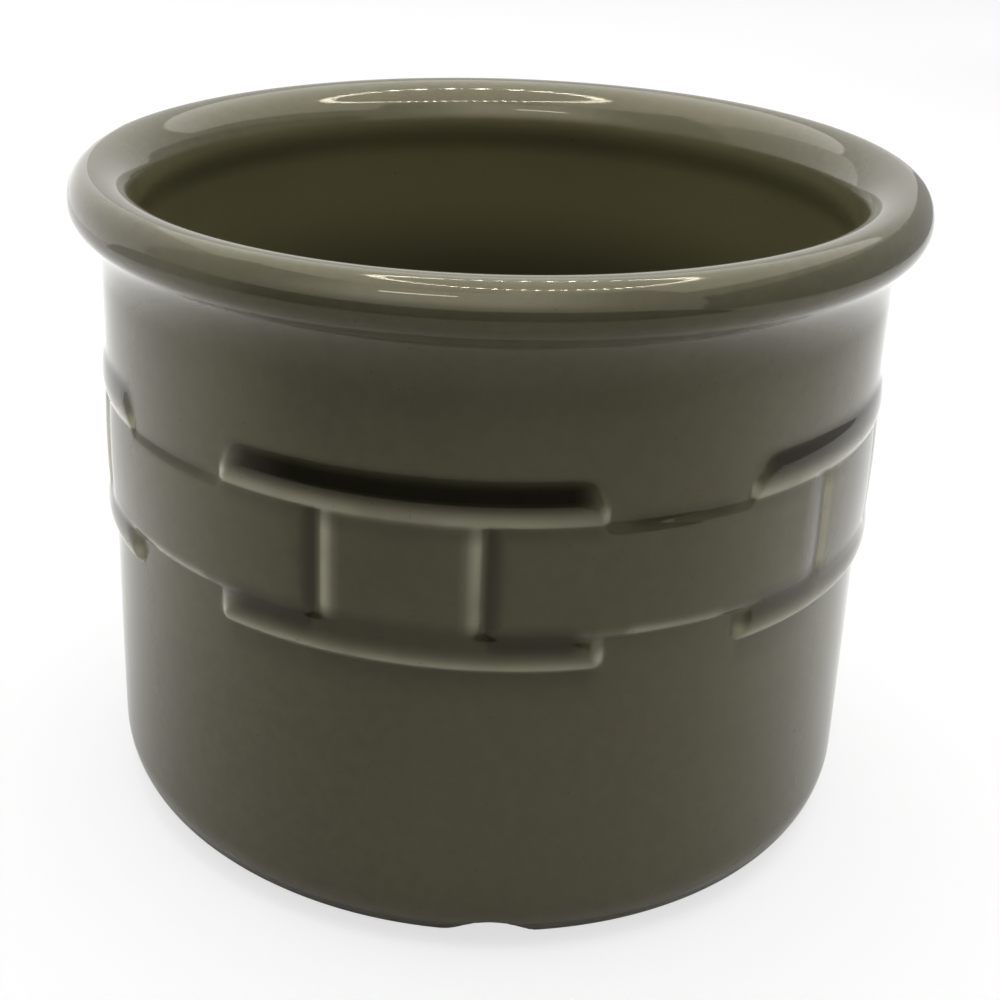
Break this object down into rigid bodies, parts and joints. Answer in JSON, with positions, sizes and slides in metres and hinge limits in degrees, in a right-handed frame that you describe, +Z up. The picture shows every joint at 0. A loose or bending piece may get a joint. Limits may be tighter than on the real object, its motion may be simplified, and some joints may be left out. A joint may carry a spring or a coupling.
{
  "type": "utensil crock",
  "caption": "Round glazed stoneware crock for kitchen utensils: thick rolled rim, straight wall with a raised basket-weave band, rounded heel and notched foot ring.",
  "frame": {"origin": "on the table under the middle of the foot ring, on the crock's axis", "axes": "+Z up along the crock's axis; -Y through the middle of one crossing of the woven band"},
  "size_m": [0.146, 0.146, 0.1143],
  "materials": {
    "glaze": "gloss"
  },
  "bodies": {
    "root": {"crock": "glaze"}
  },
  "joints": []
}
